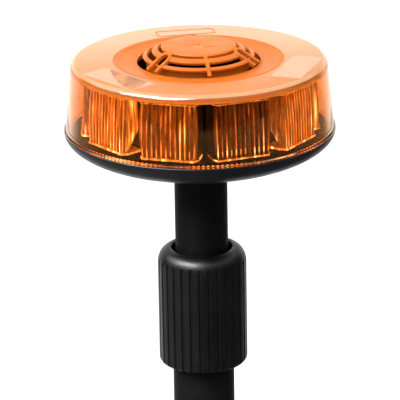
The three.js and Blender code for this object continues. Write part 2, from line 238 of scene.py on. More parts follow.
def amber_glass(name, colour, roughness):
    """Clear amber polycarbonate, with the faint waviness of a moulding."""
    clear = {"IOR": 1.38, "Transmission Weight": 1.0, "Specular IOR Level": 0.3}
    material, shader = plastic(name, colour, roughness, **clear)
    bump(material, shader, noise(material, 45, 1.0), 0.05, 0.35)
    vary_roughness(material, shader, noise(material, 30, 4.0), roughness, roughness + 0.03)
    return material


def amber_frost(name, colour, clear, smooth, rough, shine=0.5, shades=None):
    """Amber polycarbonate, slightly mottled if shades says nothing else, that scatters the light."""
    shades = shades or (scaled(colour, 0.96), scaled(colour, 1.04), 60, 3)
    sheen, grain = (smooth, rough, 90, 3), (0.02, 0.5, 1600, 2)
    kind = {"IOR": 1.5, "Transmission Weight": clear, "Specular IOR Level": shine}
    return grained(name, colour, rough, shades, sheen, grain, **kind)


def streaky_optic(name, colour, glow, first, full, scale=400, fall=0.07):
    """Fluted acrylic: milky streaks along the height, some of them glowing with painted light, the
    strongest with painted white glints.

    Streaks begin where the noise is over first, and are all milky where it is over full. They fade
    towards a module's top, by as much as fall says: painted shade over a module's upper part.
    """
    material, shader = plastic(name, colour, 0.12, IOR=1.49, Emission_Strength=1.0)
    foot, top = (SEAM + OPTIC_LOW) * MM, (SEAM + OPTIC_HIGH) * MM
    # Painted shade: the streaks fade towards the module's top.
    fade = remapped(material, own_axis(material, "Z"), foot, top, fall, -fall)
    streaks = combine(material.node_tree, "ADD", noise(material, scale, 1.5, (1, 1, 0.13)), fade)
    clear = remapped(material, streaks, first, full, 0.9, 0.1)
    link(material, clear, shader.inputs["Transmission Weight"])
    # Painted light: the streaks glow amber, and the strongest glow white as painted glints.
    amber, white = (glow, 0.38 * glow, 0.06 * glow), (2.9, 3.1, 2.9)
    lit = ramp(material.node_tree, streaks, ((first, (0, 0, 0)), (full, amber), (full + 0.15, white)))
    link(material, lit, shader.inputs["Emission Color"])
    bump(material, shader, noise(material, 500, 2.0, (1, 1, 0.3)), 0.06, 0.5)
    return material


def valley_optic(name, dark, light, glow):
    """The same acrylic in the valleys between flutes, painted dark where it shows the dark behind it, with
    a faint painted glow.
    """
    shades, sheen = (dark, light, 500, 2, (1, 1, 0.1)), (0.1, 0.25, 300, 2)
    # Painted light: a faint glow.
    kind = {"IOR": 1.49, "Emission Color": (1.0, 0.4, 0.08, 1), "Emission Strength": glow}
    return grained(name, dark, 0.15, shades, sheen, **kind)


def black_moulding(name, shade, smooth, rough, grain_mm, grain_scale=2200, shine=0.5):
    """Black moulded plastic with a fine spark-eroded grain and slight wear in its sheen."""
    shades = (scaled(shade, 0.8), scaled(shade, 1.25), 90, 4)
    sheen, grain = (smooth, rough, 150, 5), (grain_mm, 0.6, grain_scale, 2)
    kind = {"IOR": 1.48, "Specular IOR Level": shine}
    return grained(name, shade, rough, shades, sheen, grain, **kind)


def powder_coat(name, shade, smooth, rough):
    """Black powder coat: a low sheen over a fine orange-peel surface."""
    shades = (scaled(shade, 0.85), scaled(shade, 1.2), 60, 3)
    sheen, grain = (smooth, rough, 220, 4), (0.03, 0.5, 900, 3)
    kind = {"IOR": 1.45, "Specular IOR Level": 0.13}
    return grained(name, shade, rough, shades, sheen, grain, **kind)


def circuit_board(name, dark, light):
    """Solder mask with faint blocks of copper under it."""
    material, shader = plastic(name, light, 0.4, IOR=1.5)
    blocks = node(material, "ShaderNodeTexVoronoi", Scale=260.0)
    blocks.distance = "CHEBYCHEV"
    link(material, own_coordinates(material), blocks.inputs["Vector"])
    vary_colour(material, shader, blocks.outputs["Distance"], dark, light)
    bump(material, shader, blocks.outputs["Distance"], 0.04, 0.4)
    return material


MATERIALS = {
    "lens": amber_glass("amber_clear", (0.97, 0.46, 0.15), 0.02),
    # The frosted top is painted deeper orange at the front and paler towards the back: painted light.
    "lens_frost": amber_frost(
        "amber_frost", (0.98, 0.47, 0.2), 0.15, 0.36, 0.5, 0.35, ((0.95, 0.31, 0.07), (0.99, 0.6, 0.35))
    ),
    # The dish and the band under the shoulder are painted deeper orange as painted shade; the shoulder is
    # painted pale as a painted highlight.
    "lens_dish": amber_frost("amber_dish", (0.92, 0.22, 0.012), 0.1, 0.3, 0.42, 0.15),
    "lens_shoulder": amber_frost("amber_shoulder", (0.98, 0.5, 0.21), 0.15, 0.14, 0.2),
    "lens_edge": amber_frost("amber_edge", (0.97, 0.36, 0.07), 0.75, 0.03, 0.06, 0.35),
    # Painted reflections of a window, left and right on the frosted top, and the panel in the frame at the
    # back.
    "lens_window": amber_frost("amber_panel_and_reflection", (0.98, 0.51, 0.25), 0.2, 0.08, 0.12, 0.35),
    # Painted shade in the left painted reflection: a dark, mottled patch, as if the dark inside showed
    # through it.
    "lens_clear_patch": grained(
        "amber_clear_patch",
        (0.85, 0.25, 0.01),
        0.08,
        shades=((0.5, 0.11, 0.004), (0.95, 0.34, 0.03), 130, 4),
        sheen=(0.06, 0.12, 90, 3),
        IOR=1.5,
        Specular_IOR_Level=0.25,
        Transmission_Weight=0.15,
    ),
    "cap": grained(
        "amber_satin",
        (0.88, 0.23, 0.02),
        0.4,
        shades=((0.85, 0.2, 0.012), (0.89, 0.24, 0.02), 120, 3),
        sheen=(0.28, 0.42, 200, 3),
        grain=(0.02, 0.5, 2600, 2),
        IOR=1.45,
        Specular_IOR_Level=0.2,
    ),
    # Lit and shaded copies of the optic's looks: the dim ones are painted shade, the bright ones painted
    # light, and all of them glow with painted light. glint and sparkle are painted glints.
    "optic_dim": streaky_optic("optic_dim", (0.8, 0.75, 0.7), 0.5, 0.46, 0.7),
    "optic": streaky_optic("optic_ridges", (0.97, 0.93, 0.88), 0.8, 0.41, 0.61),
    "optic_bright": streaky_optic("optic_bright", (0.97, 0.93, 0.88), 1.25, 0.35, 0.59, 400, 0.05),
    "valley_dim": valley_optic("valley_dim", (0.006, 0.003, 0.001), (0.2, 0.09, 0.02), 0.015),
    "valley": valley_optic("valley", (0.01, 0.005, 0.002), (0.4, 0.2, 0.05), 0.09),
    "valley_bright": valley_optic("valley_bright", (0.05, 0.024, 0.006), (0.75, 0.42, 0.14), 0.17),
    "side": streaky_optic("optic_side", (0.4, 0.33, 0.26), 0.4, 0.52, 0.66),
    "side_bright": streaky_optic("optic_side_bright", (0.95, 0.9, 0.85), 2.0, 0.42, 0.62),
    "glint": streaky_optic("optic_glints", (0.97, 0.95, 0.92), 1.1, 0.2, 0.6),
    "sparkle": streaky_optic("foot_sparkles", (0.5, 0.2, 0.05), 2.0, 0.46, 0.62, 28, 0.0),
    "bowl": black_moulding("bowl_black", (0.007, 0.0075, 0.009), 0.3, 0.42, 0.02, 2200, 0.35),
    "collar": black_moulding("collar_black", (0.0045, 0.0045, 0.005), 0.32, 0.42, 0.03, 1800, 0.36),
    "core": black_moulding("core_black", (0.005, 0.005, 0.005), 0.4, 0.55, 0.02, 2200, 0.05),
    "nylon": black_moulding("nylon_black", (0.02, 0.02, 0.02), 0.5, 0.65, 0.02),
    "tube": powder_coat("tube_black", (0.004, 0.0036, 0.0034), 0.5, 0.65),
    "foot": powder_coat("foot_black", (0.012, 0.012, 0.012), 0.4, 0.55),
    "steel": grained(
        "zinc_steel",
        (0.55, 0.55, 0.56),
        0.3,
        shades=((0.47, 0.47, 0.49), (0.62, 0.62, 0.62), 700, 3),
        sheen=(0.22, 0.45, 900, 3),
        grain=(0.01, 0.4, 3000, 2),
        Metallic=1.0,
    ),
    "rubber": grained(
        "rubber_black",
        (0.02, 0.02, 0.02),
        0.8,
        shades=((0.014, 0.014, 0.014), (0.032, 0.031, 0.03), 80, 4),
        sheen=(0.65, 0.9, 300, 3),
        grain=(0.05, 0.6, 1500, 3),
        IOR=1.5,
    ),
    "board": circuit_board("light_board", (0.05, 0.05, 0.05), (0.09, 0.09, 0.085)),
    "circuit": circuit_board("driver_board_green", (0.02, 0.1, 0.04), (0.04, 0.18, 0.08)),
    "white": grained(
        "white_moulding",
        (0.85, 0.83, 0.8),
        0.4,
        shades=((0.8, 0.78, 0.74), (0.9, 0.88, 0.85), 70, 3),
        sheen=(0.3, 0.5, 200, 3),
        grain=(0.02, 0.4, 1800, 2),
        IOR=1.5,
    ),
}


# ---------------- mesh tools


def on_circle(radius, turn, height):
    """The point at a radius and a height, right of the front by an angle in radians."""
    return radius * math.sin(turn), -radius * math.cos(turn), height


def arc(centre_r, centre_z, half_r, half_z, start, end, steps):
    """Points [radius, z] of an elliptical arc between two angles in degrees."""
    turns = [math.radians(start + (end - start) * i / steps) for i in range(steps + 1)]
    return [(centre_r + half_r * math.cos(t), centre_z + half_z * math.sin(t)) for t in turns]


def turn_about_z(degrees):
    """A turn about the object's upright axis, to the right of the front where it is positive."""
    return Matrix.Rotation(math.radians(degrees), 4, "Z")


def add_lathe(bm, outline, z=0.0, sides=FINE):
    """Adds an outline of [radius, z] points turned about Z. A point on the axis closes that end."""
    rings = []
    for radius, height in outline:
        if radius < 1e-6:
            rings.append([bm.verts.new((0, 0, z + height))])
            continue
        turns = [2 * math.pi * k / sides for k in range(sides)]
        rings.append([bm.verts.new(on_circle(radius, t, z + height)) for t in turns])
    closed = outline[0][0] > 1e-6 or outline[-1][0] > 1e-6
    pairs = list(zip(rings, rings[1:]))
    if closed:
        pairs.append((rings[-1], rings[0]))
    for a, b in pairs:
        for k in range(sides):
            n = (k + 1) % sides
            corners = [a[k % len(a)], a[n % len(a)], b[n % len(b)], b[k % len(b)]]
            corners = list(dict.fromkeys(corners))
            if len(corners) > 2:
                bm.faces.new(corners)


def rounded_section(width, height, radius, steps=3):
    """A rounded rectangle's corners [across, up], centred on the path."""
    spots = []
    for start, sx, sy in ((0, 1, 1), (90, -1, 1), (180, -1, -1), (270, 1, -1)):
        cx, cy = sx * (width / 2 - radius), sy * (height / 2 - radius)
        spots += arc(cx, cy, radius, radius, start, start + 90, steps)
    return spots


def add_loft(bm, outlines, closed=False):
    """Adds faces between each outline of points and the next. Returns its ends and its sides.

    A closed one joins its last outline to its first, and has no ends.
    """
    rings = [[bm.verts.new(spot) for spot in outline] for outline in outlines]
    pairs = list(zip(rings, rings[1:]))
    if closed:
        pairs.append((rings[-1], rings[0]))
    sides = []
    for a, b in pairs:
        for k in range(len(a)):
            n = (k + 1) % len(a)
            sides.append(bm.faces.new((a[k], a[n], b[n], b[k])))
    ends = [] if closed else [bm.faces.new(rings[0][::-1]), bm.faces.new(rings[-1])]
    return ends, sides


def add_sweep(bm, path, section, closed=False):
    """Adds a section swept along a path of (place, across, up) vectors."""
    add_loft(bm, [[p + across * a + up * b for a, b in section] for p, across, up in path], closed)


def finish_mesh(name, bm, sharp=28):
    """A mesh in metres, smooth except over edges sharper than an angle."""
    bmesh.ops.recalc_face_normals(bm, faces=bm.faces)
    bmesh.ops.scale(bm, vec=(MM, MM, MM), verts=bm.verts)
    for face in bm.faces:
        face.smooth = True
    for edge in bm.edges:
        if edge.is_manifold and edge.calc_face_angle(0) > math.radians(sharp):
            edge.smooth = False
    mesh = bpy.data.meshes.new(name)
    bm.to_mesh(mesh)
    bm.free()
    return mesh


def place(name, mesh, material, body, replaced=()):
    """Puts a mesh in the scene as a piece that rides on a body.

    material is one key of MATERIALS, or a list of them that the faces' material numbers count along.
    """
    piece = bpy.data.objects.new(name, mesh)
    bpy.context.scene.collection.objects.link(piece)
    looks = [material] if isinstance(material, str) else material
    numbers = [polygon.material_index for polygon in mesh.polygons]
    mesh.materials.clear()
    for look in looks:
        mesh.materials.append(MATERIALS[look])
    mesh.polygons.foreach_set("material_index", numbers)
    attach(piece, body)
    if replaced:
        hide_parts(*replaced)


def lathe_piece(name, outline, material, body, replaced=(), z=0.0, sides=FINE):
    """A piece made of one turned outline."""
    bm = bmesh.new()
    add_lathe(bm, outline, z, sides)
    place(name, finish_mesh(name, bm), material, body, replaced)


def ring_outline(inner, outer, base, top, edge=0.3):
    """A tube's outline with small rounded edges."""
    return [
        (inner + edge, base),
        *arc(outer - edge, base + edge, edge, edge, -90, 0, 2),
        *arc(outer - edge, top - edge, edge, edge, 0, 90, 2),
        *arc(inner + edge, top - edge, edge, edge, 90, 180, 2),
        *arc(inner + edge, base + edge, edge, edge, 180, 270, 2)[:-1],
    ]


def carved(mesh, cutters, bevel_mm=0.0):
    """The mesh with other meshes cut out of it, and its edges then bevelled."""
    body = bpy.data.objects.new("carving", mesh)
    bpy.context.scene.collection.objects.link(body)
    tools = []
    for cutter in cutters:
        tool = bpy.data.objects.new("cutter", cutter)
        bpy.context.scene.collection.objects.link(tool)
        cut = body.modifiers.new("cut", "BOOLEAN")
        cut.operation = "DIFFERENCE"
        cut.solver = "EXACT"
        cut.object = tool
        tools.append(tool)
    if bevel_mm:
        soften = body.modifiers.new("soften", "BEVEL")
        soften.width = bevel_mm * MM
        soften.segments = 2
        soften.limit_method = "ANGLE"
        soften.angle_limit = math.radians(40)
    ready = body.evaluated_get(bpy.context.evaluated_depsgraph_get())
    result = bpy.data.meshes.new_from_object(ready)
    for leftover in [body, *tools]:
        old = leftover.data
        bpy.data.objects.remove(leftover)
        bpy.data.meshes.remove(old)
    return result


def rod_mesh(radius, base, top, sides=32, place_at=None):
    """An upright rod, moved by a matrix in millimetres."""
    bm = bmesh.new()
    add_lathe(bm, [(0, base), (radius, base), (radius, top), (0, top)], 0, sides)
    if place_at is not None:
        bmesh.ops.transform(bm, matrix=place_at, verts=bm.verts)
    return finish_mesh("rod", bm)


def at_angle(radius, degrees, height=0.0):
    """A place on a circle about Z, at an angle right of the front."""
    return turn_about_z(degrees) @ Matrix.Translation((0, -radius, height))


def rods_round(reach, angles, radius, base, top):
    """Upright rods in a circle about Z, to cut holes with."""
    return [rod_mesh(radius, base, top, 40, at_angle(reach, degrees)) for degrees in angles]


def move_in_mm(mesh, matrix):
    """Moves a finished mesh, which is in metres, by a matrix in millimetres."""
    mesh.transform(Matrix.Scale(MM, 4) @ matrix @ Matrix.Scale(1 / MM, 4))


# ---------------- the head


def shoulder(inset, steps):
    """The cover's rounded shoulder, from its side to its top, at a depth under the outside."""
    centre_r, centre_z = LENS_TOP_R - SHOULDER_R, LENS_H - SHOULDER_R
    radius = SHOULDER_R - inset
    return arc(centre_r, centre_z, radius, radius, 5, 90, steps)


def make_lens():
    """The cover: a drafted side with a small foot bead, a round shoulder, and a dish in its top."""
    outside = [
        (FOOT_BEAD_R, 0.0),
        (FOOT_BEAD_R, 0.7),
        (LENS_R - 0.1, 1.2),
        (LENS_R - 0.3, 2.2),
        (LENS_TOP_R + 0.1, LENS_H - 4.5),
        *shoulder(0, 8),
        (DISH_R + 0.6, LENS_H),
        (DISH_R + 0.1, LENS_H - 0.1),
        (DISH_R - 0.9, LENS_H - 0.55),
        (DISH_R - 1.3, LENS_H - 0.6),
        (DISH_R - 2.0, LENS_H - 0.62),
        (DISH_R - 2.25, LENS_H - 0.42),
        (DISH_R - 2.6, LENS_H - 0.42),
        (DISH_R - 2.85, LENS_H - 0.66),
        (CAP_R + 3.0, CAP_FOOT + 0.25),
        (CAP_R + 1.2, CAP_FOOT),
        (VENT_HOLE_R + 0.3, CAP_FOOT),
        (VENT_HOLE_R, CAP_FOOT - 0.3),
    ]
    inside = [
        (VENT_HOLE_R, CAP_FOOT - LENS_WALL),
        (DISH_R - 0.9, LENS_H - LENS_WALL - 0.6),
        (DISH_R + 0.6, LENS_H - LENS_WALL),
        *shoulder(LENS_WALL, 4)[::-1],
        (LENS_R - LENS_WALL, 0.0),
    ]
    bm = bmesh.new()
    add_lathe(bm, outside + inside, SEAM, FINE)
    for face in bm.faces:
        middle = face.calc_center_median()
        zone = lens_zone(math.hypot(middle.x, middle.y), middle.z - SEAM)
        face.material_index = LENS_LOOKS.index(zone)
    place("lens_shell", finish_mesh("lens_shell", bm), LENS_LOOKS, "mast", ["lens"])


def lens_zone(reach, height):
    """The material of the cover's face at a radius and a height over the seam. The shoulder's pale band is
    a painted highlight; the dish and the band under the shoulder are painted deeper orange, as painted
    shade.
    """
    if LENS_H - 4.3 < height < CAP_FOOT and reach > LENS_TOP_R - 1.4:
        return "lens_edge"
    if height < CAP_FOOT - 0.2 and (reach < LENS_TOP_R - 1.2 or height < LENS_H - 3.2):
        return "lens"
    if reach < DISH_R + 0.3:
        return "lens_dish"
    if reach < LENS_TOP_R - SHOULDER_R + 0.6:
        return "lens_frost"
    return "lens_shoulder"


def make_lens_ribbing():
    """The ring of small prisms moulded inside the lens's foot. Outside, half of each one glows with painted
    sparkles.
    """
    prisms, steps = 176, 4
    outer, base, top = LENS_R - LENS_WALL - 0.15, 0.3, 0.8
    count = prisms * steps
    section = []
    for height, is_inner in ((base, True), (base, False), (top, False), (top, True)):
        ring = []
        for k in range(count):
            wave = 0.5 - 0.5 * math.cos(2 * math.pi * k / steps)
            radius = outer - 0.35 - 0.55 * wave if is_inner else outer
            ring.append(on_circle(radius, 2 * math.pi * k / count, SEAM + height))
        section.append(ring)
    bm = bmesh.new()
    sides = add_loft(bm, section, closed=True)[1]
    # Painted glints: these outer faces take the glowing sparkle look.
    for k, face in enumerate(sides[count : 2 * count]):
        face.material_index = 1 if k % steps < 2 else 0
    mesh = finish_mesh("lens_foot_prisms", bm)
    place("lens_foot_prisms", mesh, ["lens", "sparkle"], "mast", ())


def add_plate(bm, degrees, corners, base, top):
    """A thin flat plate on the lens's top. Its corners are [across, out] at an angle right of the front."""
    turn = turn_about_z(degrees)
    outlines = []
    for height in (base, top):
        outlines.append([turn @ Vector((across, -out, SEAM + height)) for across, out in corners])
    add_loft(bm, outlines)


def make_panel_frame():
    """A plain raised frame on the back of the lens's top, where a marking panel would be."""
    width, depth, corner = 33.0, 9.4, 1.2
    turn = turn_about_z(WIDE_RIBS[1])
    outline = rounded_section(width, depth, corner, 4)
    path = []
    count = len(outline)
    for i, (x, y) in enumerate(outline):
        before, after = outline[i - 1], outline[(i + 1) % count]
        along = Vector((after[0] - before[0], after[1] - before[1], 0)).normalized()
        spot = turn @ Vector((x - 2.0, y - 53.2, SEAM + LENS_H + 0.12))
        path.append((spot, turn.to_3x3() @ Vector((along.y, -along.x, 0)), Vector((0, 0, 1))))
    bm = bmesh.new()
    add_sweep(bm, path, rounded_section(0.7, 0.3, 0.1, 2), closed=True)
    place("lens_panel_frame", finish_mesh("lens_panel_frame", bm), "cap", "mast", ())


def make_panel_and_reflections():
    """Three polished plates on the frosted top, left plain: painted reflections of a window on the left and
    the right, the panel in its frame at the back; and the clear part of the left one, painted dark.
    """
    base, top = LENS_H - 0.1, LENS_H + 0.08
    right, back, left = WIDE_RIBS
    # The wide plates are painted reflections of a window; the narrow one is the panel in the frame.
    wide = [(-21.0, 48.9), (21.0, 48.9), (21.0, 66.2), (-21.0, 66.2)]
    narrow = [(-18.3, 48.7), (14.3, 48.7), (14.3, 57.7), (-18.3, 57.7)]
    bm = bmesh.new()
    for degrees, corners in ((right, wide), (left, wide), (back, narrow)):
        add_plate(bm, degrees, corners, base, top)
    place("lens_panel_and_reflections", finish_mesh("lens_panel_and_reflections", bm), "lens_window", "mast", ())
    # The clear part: painted shade, a dark patch in the left painted reflection.
    clear = [(-17.5, 49.4), (15.0, 49.4), (19.5, 59.0), (19.5, 64.6), (14.6, 65.0), (5.0, 61.4)]
    clear.append((-4.8, 57.0))
    bm = bmesh.new()
    add_plate(bm, left, clear, base, top + 0.05)
    mesh = finish_mesh("lens_clear_patch", bm)
    place("lens_clear_patch", mesh, "lens_clear_patch", "mast", ())


def cap_height(radius):
    """Height of the vent cap's slightly domed side at a radius, from the seam."""
    share = min(1.0, max(0.0, (radius - CAP_TOP_R) / (CAP_R - CAP_TOP_R)))
    start, end, crown = CAP_TOP - 0.3, CAP_FOOT + 0.7, 0.9
    return start + (end - start) * share + crown * math.sin(math.pi * share)


def slope_frame(degrees):
    """On the vent cap's side, at an angle right of the front: down the slope, across it and out of it."""
    fall = Vector((0, -(CAP_R - CAP_TOP_R), cap_height(CAP_R) - cap_height(CAP_TOP_R))).normalized()
    across = Vector((1, 0, 0))
    out = across.cross(fall).normalized()
    if out.z < 0:
        out = -out
    turn = turn_about_z(degrees).to_3x3()
    return turn @ fall, turn @ across, turn @ out


def slope_point(degrees, radius):
    """A point on the vent cap's side, at an angle right of the front."""
    spot = Vector((0, -radius, SEAM + cap_height(radius)))
    return turn_about_z(degrees) @ spot


def add_slope_bar(bm, inner, outer, start, end):
    """A bar round part of the vent cap's side, between two angles right of the front."""
    thickness = 2.0
    middle = (inner + outer) / 2
    length = (slope_point(0, outer) - slope_point(0, inner)).length
    steps = max(2, int((end - start) / 3))
    path = []
    for i in range(steps + 1):
        degrees = start + (end - start) * i / steps
        fall, _, out = slope_frame(degrees)
        path.append((slope_point(degrees, middle) - out * thickness / 2, fall, out))
    add_sweep(bm, path, rounded_section(length, thickness, 0.45, 3))


def make_vent_dome():
    """The slotted cap: a flat top on six ribs, with bars between its rows of slots."""
    bm = bmesh.new()
    disc = [
        (0, CAP_TOP - 0.45),
        (0.9, CAP_TOP - 0.45),
        (1.5, CAP_TOP - 0.05),
        (1.9, CAP_TOP),
        *arc(CAP_TOP_R - 0.7, CAP_TOP - 0.6, 0.7, 0.6, 90, 20, 4),
        (CAP_TOP_R + 0.5, cap_height(CAP_TOP_R + 0.5)),
        (CAP_TOP_R + 0.1, CAP_TOP - 2.1),
        (0, CAP_TOP - 2.1),
    ]
    add_lathe(bm, disc, SEAM, FINE)
    for inner, outer in ((22.9, 26.3), (29.0, 31.2)):
        clear = math.degrees(math.asin(3.0 / inner))
        for number, start in enumerate(WIDE_RIBS):
            end = WIDE_RIBS[(number + 1) % 3] + (360 if number == 2 else 0)
            add_slope_bar(bm, inner, outer, start + clear, end - clear)
    skirt = [(28.0, CAP_FOOT - 2.4), (29.0, CAP_FOOT - 2.4), (29.6, CAP_FOOT + 3.4), (28.6, CAP_FOOT + 3.4)]
    add_lathe(bm, skirt, SEAM, FINE)
    foot = [
        (VENT_HOLE_R - 0.4, CAP_FOOT - 2.6),
        (VENT_HOLE_R - 0.4, CAP_FOOT),
        (CAP_R, CAP_FOOT),
        (CAP_R, CAP_FOOT + 0.2),
        (CAP_R - 0.2, CAP_FOOT + 0.35),
        (VENT_HOLE_R - 1.2, CAP_FOOT + 0.35),
        (VENT_HOLE_R - 1.2, CAP_FOOT - 2.6),
    ]
    add_lathe(bm, foot, SEAM, FINE)
    for degrees in NARROW_RIBS:
        _, across, out = slope_frame(degrees)
        reach = CAP_R - 0.7 - CAP_TOP_R
        spots = [slope_point(degrees, CAP_TOP_R + reach * k / 6) for k in range(7)]
        path = [(p - out * 0.85, across, out) for p in spots]
        add_sweep(bm, path, rounded_section(2.2, 2.2, 0.5, 3))
    for degrees in WIDE_RIBS:
        add_loop_rib(bm, degrees)
    for side in (-1, 1):
        add_mark_line(bm, side)
    place("vent_dome", finish_mesh("vent_dome", bm), "cap", "mast", ["vent_cap"])


def add_loop_rib(bm, degrees):
    """A wide rib: a raised loop, open at the cap's foot, round a straight slot."""
    fall, across, out = slope_frame(degrees)
    loop_r, bar = 3.5, 2.1
    start = slope_point(degrees, CAP_TOP_R + loop_r * 0.62) + fall * 2.6
    length = (slope_point(degrees, CAP_R - 0.5) - start).length
    path = []
    lift = out * -0.75
    for share in (1.0, 0.75, 0.5, 0.25):
        path.append((start + fall * length * share - across * loop_r + lift, across, out))
    for i in range(13):
        turn = math.pi * i / 12
        spoke = -across * math.cos(turn) - fall * math.sin(turn)
        path.append((start + spoke * loop_r + lift, -spoke, out))
    for share in (0.25, 0.5, 0.75, 1.0):
        path.append((start + fall * length * share + across * loop_r + lift, -across, out))
    add_sweep(bm, path, rounded_section(bar, 2.7, 0.55, 3))


def add_mark_line(bm, side):
    """One of the two short curved ridges beside the dimple in the cap's top."""
    path = []
    for i in range(9):
        turn = math.radians(-20 + 40 * i / 8)
        across, along = side * (1.5 + 6.5 * i / 8), side * -2.2 - 1.2 * math.cos(3 * turn)
        spot = Vector((across, along, SEAM + CAP_TOP + 0.02))
        path.append((spot, Vector((0, 1, 0)), Vector((0, 0, 1))))
    add_sweep(bm, path, rounded_section(0.45, 0.3, 0.1, 2))


def bowl_curve(inset, hole, steps, end=0):
    """The bowl's curve from its hole to its rim, at a depth under the outside."""
    reach, depth = BOWL_R - inset, -BOWL_LOW + BOWL_RIM - inset
    start = -math.degrees(math.acos(hole / reach))
    return arc(0, BOWL_RIM, reach, depth, start, end, steps)


def make_bowl():
    """The bowl, with a stepped rim for the cover, and sinks in it for the screws' heads."""
    hole = UPPER_R + 0.3
    rim = [
        (BOWL_R - 0.05, BOWL_RIM - 0.1),
        (BOWL_R - 0.3, -0.35),
        (LENS_R + 0.05, -0.3),
        (LENS_R, -0.5),
        (LENS_R, -1.6),
        (LENS_R - 3.3, -1.6),
    ]
    outside = bowl_curve(0, hole, 40, -4)
    inside = bowl_curve(BOWL_WALL, hole, 24, -10)[::-1]
    bm = bmesh.new()
    add_lathe(bm, outside + [(BOWL_R, BOWL_RIM - 0.6)] + rim + inside, SEAM, FINE)
    sink_r, under = 3.8, SEAM - 26
    sinks = rods_round(BASE_SCREW_R, DIAGONALS, sink_r, under, SEAM - 11.5)
    sinks += rods_round(NECK_SCREW_R, (0, 120, 240), sink_r, under, SEAM - 20.0)
    bowl = carved(finish_mesh("bowl", bm), sinks)
    place("bowl", bowl, "bowl", "mast", ["base_bowl"])


def optic_face(share):
    """How far out a module's front face is: it leans in towards the top, as the lens does."""
    return FACE_R + 1.3 - 2.0 * share + 0.4 * math.sin(math.pi * share)


def optic_back(share):
    """How far out a module's back is: it slopes in from a shallow foot to its full depth."""
    return 60.0 - 7.2 * min(1.0, share / 0.38) ** 0.8


def optic_half_width(share):
    """Half of a module's width at a share of its height: its sides bulge like a barrel's."""
    return 15.4 + 0.9 * math.sin(math.pi * share**1.1) ** 0.8


def optic_mesh():
    """One fluted optic, facing the front: the block, then its bottom and top flanges."""
    bm = bmesh.new()
    across_steps, up_steps = 8, 20
    base, top = OPTIC_LOW + 1.3, OPTIC_HIGH - 1.1
    depth, straight, taper = 1.05, 15.8, 3.4
    columns = FLUTES * across_steps + 1
    last = columns - 1
    front, rear = [], []
    for j in range(up_steps + 1):
        share = min(0.9999, j / up_steps)
        z = base + (top - base) * share
        half = optic_half_width(share)
        front_row, rear_row = [], []
        for i in range(columns):
            u = (i % across_steps) / across_steps * 2 - 1
            flute = math.sqrt(max(0.0, 1 - u * u)) if i < last else 0.0
            across = 2 * i / last - 1
            bulge = straight + (half - straight) * across**8
            reach = optic_face(share) - depth + depth * flute
            front_row.append(bm.verts.new((bulge * across, -reach, SEAM + z)))
            rear_row.append(bm.verts.new(((half - taper) * across, -optic_back(share), SEAM + z)))
        front.append(front_row)
        rear.append(rear_row)
    for j in range(up_steps):
        for i in range(last):
            made = bm.faces.new((front[j][i], front[j][i + 1], front[j + 1][i + 1], front[j + 1][i]))
            on_ridge = abs((i + 0.5) % across_steps - across_steps / 2) < 1
            made.material_index = RIDGE if on_ridge else VALLEY
            # Painted glints: ridge faces just above the foot glow.
            if on_ridge and j in (1, 2):
                made.material_index = GLINT
            behind = bm.faces.new((rear[j][i + 1], rear[j][i], rear[j + 1][i], rear[j + 1][i + 1]))
            behind.material_index = VALLEY
        for i in (0, last):
            made = bm.faces.new((front[j][i], front[j + 1][i], rear[j + 1][i], rear[j][i]))
            made.material_index = SIDE
    for j in (0, up_steps):
        for i in range(last):
            made = bm.faces.new((front[j][i], front[j][i + 1], rear[j][i + 1], rear[j][i]))
            made.material_index = VALLEY
    add_ear_plate(bm, OPTIC_LOW, OPTIC_LOW + 1.3, FACE_R + 2.2)
    add_ear_plate(bm, OPTIC_HIGH - 1.1, OPTIC_HIGH, FACE_R + 0.8)
    return finish_mesh("optic", bm, 50)


def add_ear_plate(bm, base, top, reach):
    """A thin flange with its front corners cut back, wider than the block it carries."""
    half, back = 16.4, 52.8
    outline = [
        (-half + 0.6, -back),
        (half - 0.6, -back),
        (half, -reach + 3.6),
        (half - 1.9, -reach),
        (-half + 1.9, -reach),
        (-half, -reach + 3.6),
    ]
    levels = [[(x, y, SEAM + z) for x, y in outline] for z in (base, top)]
    ends, sides = add_loft(bm, levels)
    for end in ends:
        end.material_index = VALLEY
    # Painted glints along the flange's front edges.
    showing = sides[1:5]
    for side in showing:
        side.material_index = GLINT
    rims = [e for face in showing for e in face.edges if abs(e.verts[0].co.z - e.verts[1].co.z) < 1e-6]
    rims = list(dict.fromkeys(rims))
    bmesh.ops.bevel(bm, geom=rims, offset=0.3, segments=2, affect="EDGES", profile=0.5)


def module_angle(number):
    """The angle of a module, right of the front. The first and the last are beside the front."""
    return 180 / MODULES + (360 / MODULES) * (number - 1)


def make_optics():
    """The ring of modules, in lit and shaded copies of their looks. The two beside the front are painted
    darker, as painted shade, and two have painted bright sides.
    """
    pattern = optic_mesh()
    for number in range(1, MODULES + 1):
        mesh = pattern.copy()
        mesh.transform(turn_about_z(module_angle(number)))
        name = f"fluted_optic_{number}"
        mesh.name = name
        # Painted light and shade: each module takes lit or shaded copies of the optic's looks.
        looks = ["optic_bright", "valley_bright", "side", "glint"]
        if number in (3, MODULES - 1):
            looks = ["optic_bright", "valley_bright", "side_bright", "glint"]
        elif number == 1:
            looks = ["optic_dim", "valley_dim", "valley_dim", "glint"]
        elif number == MODULES:
            looks = ["optic", "valley", "valley_dim", "glint"]
        place(name, mesh, looks, "mast", [f"optic_{number}"])


